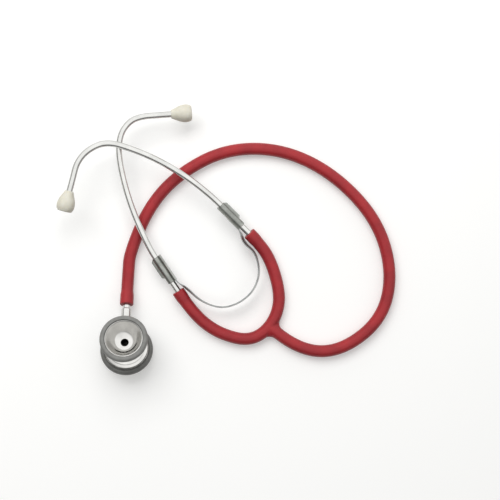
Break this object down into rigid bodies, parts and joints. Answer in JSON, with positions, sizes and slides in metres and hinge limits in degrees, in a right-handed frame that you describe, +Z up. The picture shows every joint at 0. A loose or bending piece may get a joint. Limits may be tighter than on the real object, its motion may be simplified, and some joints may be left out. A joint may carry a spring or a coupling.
{
  "type": "stethoscope",
  "caption": "Dual-head stethoscope laid in a loop: soft tubing, sprung ear tubes with soft tips, and a bell and diaphragm chest piece that swivels on its stem.",
  "frame": {"origin": "on the table, under the middle of the rigid pieces' box (the soft tubing left out)", "axes": "+Z up from the table, +Y from the chest piece towards the ear tips, +X towards the loop of the long tube"},
  "size_m": [0.283, 0.2266, 0.0464],
  "materials": {
    "tubing_vinyl": "satin moulded vinyl",
    "ear_tube_chrome": "polished chrome plate on brass tube",
    "ear_tip_vinyl": "matt soft moulding",
    "ferrule_brass": "turned",
    "spring_steel": "plated strip",
    "head_chrome": "polished chrome plate",
    "stem_chrome": "turned and polished chrome plate",
    "bell_ring_rubber": "matt grey moulding",
    "rim_ring_rubber": "matt dark grey moulding over a threaded ring",
    "diaphragm_film": "thin laminated sheet",
    "seal_rubber": "moulded ring",
    "detent_steel": "ground"
  },
  "bodies": {
    "root": {"main_tube": "tubing_vinyl", "y_junction": "tubing_vinyl", "branch_tube_left": "tubing_vinyl", "branch_tube_right": "tubing_vinyl", "leaf_spring": "spring_steel", "stem": "stem_chrome", "stem_seal": "seal_rubber"},
    "left_ear": {"ear_tube_left": "ear_tube_chrome", "spring_clip_left": "spring_steel", "ear_ferrule_left": "ferrule_brass"},
    "right_ear": {"ear_tube_right": "ear_tube_chrome", "spring_clip_right": "spring_steel", "ear_ferrule_right": "ferrule_brass"},
    "left_tip": {"ear_tip_left": "ear_tip_vinyl"},
    "right_tip": {"ear_tip_right": "ear_tip_vinyl"},
    "head": {"chest_body": "head_chrome", "bell_ring": "bell_ring_rubber", "detent_ball": "detent_steel", "detent_spring": "detent_steel", "detent_screw": "detent_steel"},
    "disc": {"diaphragm": "diaphragm_film"},
    "rim": {"diaphragm_ring": "rim_ring_rubber"}
  },
  "joints": [
    {"name": "left_spread", "type": "hinge", "parent": "root", "child": "left_ear", "pos_m": [0.0164, -0.0391, 0.0109], "axis": [0, 0, 1], "range_deg": [0, 50], "stiffness_Nm_per_rad": 0.9, "deforming": ["branch_tube_left", "leaf_spring"]},
    {"name": "right_spread", "type": "hinge", "parent": "root", "child": "right_ear", "pos_m": [0.0699, 0.0102, 0.0109], "axis": [0, 0, -1], "range_deg": [0, 50], "stiffness_Nm_per_rad": 0.9, "deforming": ["branch_tube_right", "leaf_spring"]},
    {"name": "left_tip_turn", "type": "hinge", "parent": "left_ear", "child": "left_tip", "pos_m": [0.0099, 0.1048, 0.0192], "axis": [0.994, 0.0786, -0.0765], "continuous": true},
    {"name": "right_tip_turn", "type": "hinge", "parent": "right_ear", "child": "right_tip", "pos_m": [-0.073, 0.0402, 0.0326], "axis": [-0.2637, -0.9636, -0.0446], "continuous": true},
    {"name": "head_turn", "type": "hinge", "parent": "root", "child": "head", "pos_m": [-0.0279, -0.0868, 0.02409], "axis": [0, 0.9239, -0.3827], "continuous": true},
    {"name": "ring_lift", "type": "slide", "parent": "head", "child": "disc", "axis": [0, -0.3827, -0.9239], "range_m": [0, 0.0045]},
    {"name": "ring_turn", "type": "hinge", "parent": "disc", "child": "rim", "pos_m": [-0.0279, -0.0935, 0.00792], "axis": [0, -0.3827, -0.9239], "range_deg": [0, 1080]}
  ],
  "couplings": [
    {"joint": "ring_lift", "follows": "ring_turn", "m_per_rad": 0.0002387}
  ]
}
